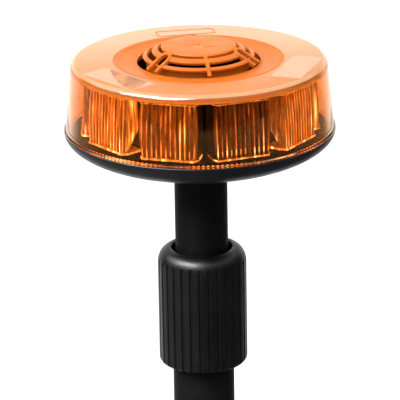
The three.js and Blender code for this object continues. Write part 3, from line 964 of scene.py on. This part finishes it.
def make_head_plates():
    """The flat rings inside the head: floor plate, reflector and gasket."""
    rings = (
        ("floor_plate", (12, 71.4, -2.4, -0.4, 0.3), "core", "base_plate", "core_plastic"),
        ("pale_reflector", (53.5, 68.2, 33.8, 35, 0.4), "white", "top_reflector", "white_plastic"),
        ("lens_gasket", (72.6, 75, -1.4, -0.2, 0.3), "rubber", "lens_seal", "rubber"),
    )
    for piece, section, look, cad_node, slot in rings:
        lathe_piece(piece, ring_outline(*section), look, "mast", [cad_node], SEAM)


# ---------------- the pole


def make_tubes():
    top = high("upper_tube")[2]
    outline = ring_outline(UPPER_R - TUBE_WALL, UPPER_R, low("upper_tube")[2], top, 0.4)
    lathe_piece("sliding_tube", outline, "tube", "mast", ["upper_tube"], 0, 128)
    outline = ring_outline(LOWER_R - TUBE_WALL, LOWER_R, low("lower_tube")[2], high("lower_tube")[2], 0.4)
    lathe_piece("fixed_tube", outline, "tube", "pole", ["lower_tube"], 0, 128)


def collar_profile():
    """The collar's outside from its lower edge to its hole, with the length along it at each point."""
    round_low, shoulder_r, shoulder_z = 3.2, 7.0, 8.8
    points = arc(COLLAR_R - round_low, COLLAR_LOW + round_low, round_low, round_low, -85, 0, 8)
    wall_low, wall_high = points[-1][1], COLLAR_HIGH - shoulder_z
    steps = 34
    points += [(COLLAR_R, wall_low + (wall_high - wall_low) * i / steps) for i in range(1, steps)]
    points += arc(COLLAR_R - shoulder_r, wall_high, shoulder_r, shoulder_z, 0, 90, 18)
    return points


def groove_depth(across, height):
    """How deep a finger groove is at a distance from its middle and at a height."""
    half_width, depth = 0.95, 0.85
    above = max(0.0, height - (GROOVE_TOP - half_width))
    reach = math.hypot(across, above) / half_width
    if reach >= 1:
        return 0.0
    return depth * math.sqrt(1 - reach**2)


def make_collar():
    """The twist-lock collar: upright finger grooves between flat lands, under a round shoulder."""
    half_pitch = math.pi * COLLAR_R / GROOVES
    offsets = [0, 0.35, 0.7, 0.9, 0.97, 1.1, 1.6, 2.1, half_pitch]
    spread = [-o for o in offsets[:0:-1]] + offsets[:-1]
    first, turns = 6, []
    for groove in range(GROOVES):
        middle = math.radians(first + groove * 360 / GROOVES)
        turns += [(middle + across / COLLAR_R, across) for across in spread]
    rings = []
    for radius, height in collar_profile():
        rings.append([on_circle(radius - groove_depth(a, height), t, height) for t, a in turns])
    inner = [
        (17.6, COLLAR_HIGH - 0.15),
        (17.3, COLLAR_HIGH - 0.6),
        (17.3, 291.2),
        (22.0, 291.2),
        (22.0, 276),
        (CLAMP_R + 0.4, 275),
        (CLAMP_R + 0.4, COLLAR_LOW + 0.5),
        (CLAMP_R + 0.8, COLLAR_LOW),
    ]
    rings += [[on_circle(radius, t, height) for t, _ in turns] for radius, height in inner]
    bm = bmesh.new()
    add_loft(bm, rings, closed=True)
    mesh = finish_mesh("fluted_collar", bm, 38)
    place("fluted_collar", mesh, "collar", "collar", ["lock_collar"])


def make_clamp_parts():
    """The clamp's sleeve, with a groove for the collar's clip, and the wiper in the collar's mouth."""
    top = high("clamp_body")[2]
    bore = UPPER_R + 0.15
    sleeve = LOWER_R + 0.1
    shelf = high("lower_tube")[2] + 0.2
    outline = [
        (sleeve, 232.3),
        (sleeve + 0.3, 232),
        (CLAMP_R - 0.6, 232),
        (CLAMP_R, 232.6),
        (CLAMP_R, 238),
        (CLAMP_R - 0.9, 238),
        (CLAMP_R - 0.9, 239.6),
        (CLAMP_R, 239.6),
        (CLAMP_R, 271),
        (18.2, 273),
        (18.2, 280),
        (17, top),
        (bore, top),
        (bore, shelf),
        (sleeve, shelf),
    ]
    lathe_piece("clamp_sleeve", outline, "nylon", "pole", ["clamp_body"], 0, 96)
    wiper = ring_outline(15.2, 17.2, low("wiper_seal")[2], high("wiper_seal")[2], 0.4)
    lathe_piece("wiper_ring", wiper, "rubber", "pole", ["wiper_seal"], 0, 96)


# ---------------- the foot


def laid_outward(degrees):
    """Lays an upright thing flat, pointing out at an angle, at the height of the foot's set screws."""
    height = 30
    return turn_about_z(degrees) @ Matrix.Translation((0, 0, height)) @ Matrix.Rotation(math.pi / 2, 4, "X")


def make_foot():
    """The cast foot: a drilled flange, a boss with a fillet round it, and four webs."""
    bore = LOWER_R + 0.25
    flange_top, boss_r, fillet = 10.2, 24.4, 3.6
    turns = [math.radians(t) for t in (0, 15, 30, 45, 60, 75, 88)]
    across = [boss_r + fillet - fillet * math.sin(t) for t in turns]
    up = [flange_top + fillet - fillet * math.cos(t) for t in turns]
    outline = [
        (9, FLANGE_LOW),
        (FOOT_R - 0.5, FLANGE_LOW),
        (FOOT_R, FLANGE_LOW + 0.5),
        *arc(FOOT_R - 1.5, flange_top - 1.5, 1.5, 1.5, 0, 90, 5),
        *zip(across, up),
        (22.5, FOOT_TOP - 1.5),
        *arc(21, FOOT_TOP - 1.5, 1.5, 1.5, 10, 90, 4),
        (bore + 0.5, FOOT_TOP),
        (bore, FOOT_TOP - 0.5),
        (bore, 12.2),
        (9, 12.2),
    ]
    bm = bmesh.new()
    add_lathe(bm, outline, 0, FINE)
    cutters = rods_round(BOLT_CIRCLE_R, DIAGONALS, 4.5, 0, 20)
    for degrees in (45, 225):
        cutters.append(rod_mesh(3.0, 10, 30, 32, laid_outward(degrees)))
    casting = carved(finish_mesh("casting", bm), cutters, 0.4)
    for polygon in casting.polygons:
        polygon.use_smooth = True
    place("foot_casting", casting, "foot", "pole", ["foot_flange"])
    for number, degrees in enumerate((0, 90, 180, 270), 1):
        make_gusset(number, degrees, flange_top)


def make_gusset(number, degrees, flange_top):
    """A web between the boss and the flange, with a softened edge."""
    base, inner, outer, peak = flange_top - 0.5, 20.5, 47.5, 35.5
    profile = [(inner, base), (outer, base), (outer, flange_top + 0.9), (22.2, peak), (inner, peak)]
    bm = bmesh.new()
    add_loft(bm, [[(x, -r, z) for r, z in profile] for x in (-2.5, 2.5)])
    edges = [e for e in bm.edges if max(v.co.z for v in e.verts) > flange_top]
    bmesh.ops.bevel(bm, geom=edges, offset=1.0, segments=3, affect="EDGES", profile=0.5)
    bmesh.ops.transform(bm, matrix=turn_about_z(degrees), verts=bm.verts)
    name = f"foot_gusset_{number}"
    place(name, finish_mesh(name, bm), "foot", "pole", ())


def make_foot_rubber():
    """The pad under the foot and the grommet in its middle."""
    pad = ring_outline(12, FOOT_R - 1, 0, high("foot_pad")[2], 0.4)
    bm = bmesh.new()
    add_lathe(bm, pad, 0, FINE)
    mesh = carved(finish_mesh("pad", bm), rods_round(BOLT_CIRCLE_R, DIAGONALS, 4.6, -2, 5))
    place("rubber_pad", mesh, "rubber", "pole", ["foot_pad"])
    grommet = [(4.4, 2.6), (8.4, 2.6), (8.7, 3), (8.7, 12.5), (11, 12.5), (11, 13.6), (10.6, 14)]
    grommet += [(4.4, 14), (4, 13.6), (4, 3)]
    lathe_piece("lead_grommet", grommet, "rubber", "pole", ["cable_grommet"], 0, 64)


# ---------------- fasteners


def screw_mesh(head_r, shank_r, head_low, head_high, tip, socket_r):
    """A screw standing on its domed head, with a six-sided socket in it."""
    outline = [
        (0, head_low),
        (head_r - 1.1, head_low),
        *arc(head_r - 0.9, head_low + 0.9, 0.9, 0.9, -90, 0, 3)[1:],
        (head_r, head_high),
        (shank_r, head_high),
        (shank_r, tip - 0.8),
        (shank_r - 0.8, tip),
        (0, tip),
    ]
    bm = bmesh.new()
    add_lathe(bm, outline, 0, 32)
    socket = rod_mesh(socket_r, head_low - 1, head_low + 1.2, 6)
    return carved(finish_mesh("screw", bm), [socket])


def make_screws():
    """The screws up through the bowl: one ring into the floor plate, one into the neck."""
    rings = (
        ("plate_screw", "base_screw", 4, BASE_SCREW_R, 45, (-14.0, -11.8, -0.8)),
        ("bowl_screw", "neck_screw", 3, NECK_SCREW_R, 0, (-22.0, -20.3, -13.0)),
    )
    for piece, cad_node, count, radius, first, heights in rings:
        pattern = screw_mesh(3.4, 1.7, *heights, 1.7)
        for number in range(1, count + 1):
            mesh = pattern.copy()
            move_in_mm(mesh, at_angle(radius, first + 360 / count * (number - 1), SEAM))
            place(f"{piece}_{number}", mesh, "steel", "mast", [f"{cad_node}_{number}"])


def make_grub_screws():
    """The two set screws that hold the lower tube in the foot."""
    outline = [(0, 17.9), (2.2, 17.9), (2.7, 18.4), (2.7, 23.0), (2.3, 23.4), (0, 23.4)]
    for number, degrees in ((1, 45), (2, 225)):
        bm = bmesh.new()
        add_lathe(bm, outline, 0, 32)
        socket = rod_mesh(1.5, 20.6, 25, 6)
        mesh = carved(finish_mesh("grub", bm), [socket])
        move_in_mm(mesh, laid_outward(degrees))
        place(f"set_screw_{number}", mesh, "steel", "pole", [f"grub_screw_{number}"])


# ---------------- carried-over CAD nodes


def paint_cad_nodes():
    """Gives the CAD nodes that still show their own materials."""
    looks = {
        "core_housing": "core",
        "driver_board": "circuit",
        "vent_membrane": "rubber",
        "neck_socket": "steel",
        "neck_pin": "steel",
        "guide_bush": "nylon",
        "wedge_ring": "nylon",
        "collar_clip": "steel",
    }
    looks.update({f"led_board_{n}": "board" for n in range(1, MODULES + 1)})
    for name, look in looks.items():
        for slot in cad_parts[name].material_slots:
            slot.material = MATERIALS[look]


# ---------------- the studio


def make_floor():
    """The pale floor, just under the part. It glows a little, and doesn't show in reflections."""
    bm = bmesh.new()
    bmesh.ops.create_grid(bm, x_segments=1, y_segments=1, size=60)
    mesh = bpy.data.meshes.new("floor")
    bm.to_mesh(mesh)
    bm.free()
    floor = bpy.data.objects.new("floor", mesh)
    bpy.context.scene.collection.objects.link(floor)
    glow = {"Emission Color": (1, 1, 1, 1), "Emission Strength": 0.9}
    mesh.materials.append(plastic("floor_white", (0.3, 0.3, 0.3), 0.9, **glow)[0])
    floor.location.z = -0.0005
    floor.visible_glossy = False


def zero_to_one(tree, source):
    """A coordinate that runs from -1 to 1, brought to the range of a ramp."""
    half = combine(tree, "MULTIPLY_ADD", source, 0.5)
    half.node.inputs[2].default_value = 0.5
    return half


def brightness(tree, source, stops):
    """A grey that follows a value through a list of (place, level) stops."""
    return ramp(tree, source, [(spot, (level, level, level)) for spot, level in stops])


def make_world():
    """A white sweep low behind the object, a dim glow low on its left, and a pale ceiling."""
    world = bpy.data.worlds.new("studio")
    bpy.context.scene.world = world
    world.use_nodes = True
    tree = world.node_tree
    coordinates = tree.nodes.new("ShaderNodeTexCoord")
    split = tree.nodes.new("ShaderNodeSeparateXYZ")
    tree.links.new(coordinates.outputs["Generated"], split.inputs["Vector"])
    x, y, z = (split.outputs[axis] for axis in "XYZ")
    behind = ((0.0, 0.01), (0.79, 0.03), (0.87, 0.45), (0.94, 0.55), (1.0, 0.8))
    near_floor = ((0.0, 1.0), (0.28, 1.0), (0.33, 0.12), (0.5, 0.0))
    overhead = ((0.0, 0.0), (0.38, 0.02), (0.62, 0.7), (1.0, 0.75))
    leftward = ((0.0, 0.22), (0.3, 0.18), (0.47, 0.0))
    downward = ((0.0, 1.0), (0.38, 1.0), (0.44, 0.0))
    sweep = brightness(tree, zero_to_one(tree, y), behind)
    low_sweep = combine(tree, "MULTIPLY", sweep, brightness(tree, z, near_floor))
    ceiling = brightness(tree, z, overhead)
    left = brightness(tree, zero_to_one(tree, x), leftward)
    glow = combine(tree, "MULTIPLY", left, brightness(tree, zero_to_one(tree, z), downward))
    below = combine(tree, "ADD", low_sweep, glow)
    bright_low = combine(tree, "MULTIPLY", below, 2.0)
    total = combine(tree, "ADD", bright_low, combine(tree, "MULTIPLY", ceiling, 2.0))
    tree.links.new(total, tree.nodes["Background"].inputs["Strength"])
    tree.nodes["Background"].inputs["Color"].default_value = (1, 1, 1, 1)


def make_softbox(name, direction, distance, size, power, gloss_only=False):
    """A square-on area light that faces the head."""
    target = Vector((0, 0, SEAM * MM))
    lamp = bpy.data.lights.new(name, "AREA")
    lamp.shape = "RECTANGLE"
    lamp.size, lamp.size_y = size
    lamp.energy = power
    box = bpy.data.objects.new(name, lamp)
    bpy.context.scene.collection.objects.link(box)
    way = Vector(direction).normalized()
    box.location = target + way * distance
    box.rotation_mode = "QUATERNION"
    box.rotation_quaternion = way.to_track_quat("Z", "Y")
    box.visible_camera = False
    if gloss_only:
        box.visible_diffuse = False
        box.visible_transmission = False


def make_lights():
    """A lamp that only shows as gloss on the shoulders, and a soft one from the left."""
    make_softbox("key", (-0.54, -0.42, 0.73), 1.7, (1.6, 1.0), 165, gloss_only=True)
    make_softbox("fill", (-0.95, 0.15, 0.6), 2.2, (1.2, 0.9), 14)


def make_camera():
    """The photograph's view: from 18 degrees above the head, through a long lens."""
    reach, rise = 1.6012, 0.5125
    pitch, roll, side_turn, aside = 19.163, 0.95, -2.7, -0.0006
    lens = bpy.data.cameras.new("camera")
    lens.lens = 270
    lens.sensor_width = 36
    lens.clip_start, lens.clip_end = 0.05, 100
    camera = bpy.data.objects.new("camera", lens)
    bpy.context.scene.collection.objects.link(camera)
    around = math.radians(side_turn)
    back = Vector((math.sin(around), -math.cos(around), 0))
    right = Vector((math.cos(around), math.sin(around), 0))
    camera.location = back * reach + right * aside + Vector((0, 0, SEAM * MM + rise))
    down = math.radians(pitch)
    way = -back * math.cos(down) - Vector((0, 0, 1)) * math.sin(down)
    camera.rotation_mode = "QUATERNION"
    turn = way.to_track_quat("-Z", "Y").to_matrix().to_4x4()
    camera.rotation_quaternion = (turn @ Matrix.Rotation(math.radians(-roll), 4, "Z")).to_quaternion()
    bpy.context.scene.camera = camera


make_camera()
make_lens()
make_lens_ribbing()
make_panel_frame()
make_panel_and_reflections()
make_vent_dome()
make_bowl()
make_optics()
make_head_plates()
make_tubes()
make_collar()
make_clamp_parts()
make_foot()
make_foot_rubber()
make_screws()
make_grub_screws()
paint_cad_nodes()
make_floor()
make_world()
make_lights()
bpy.context.scene.view_settings.view_transform = "Standard"
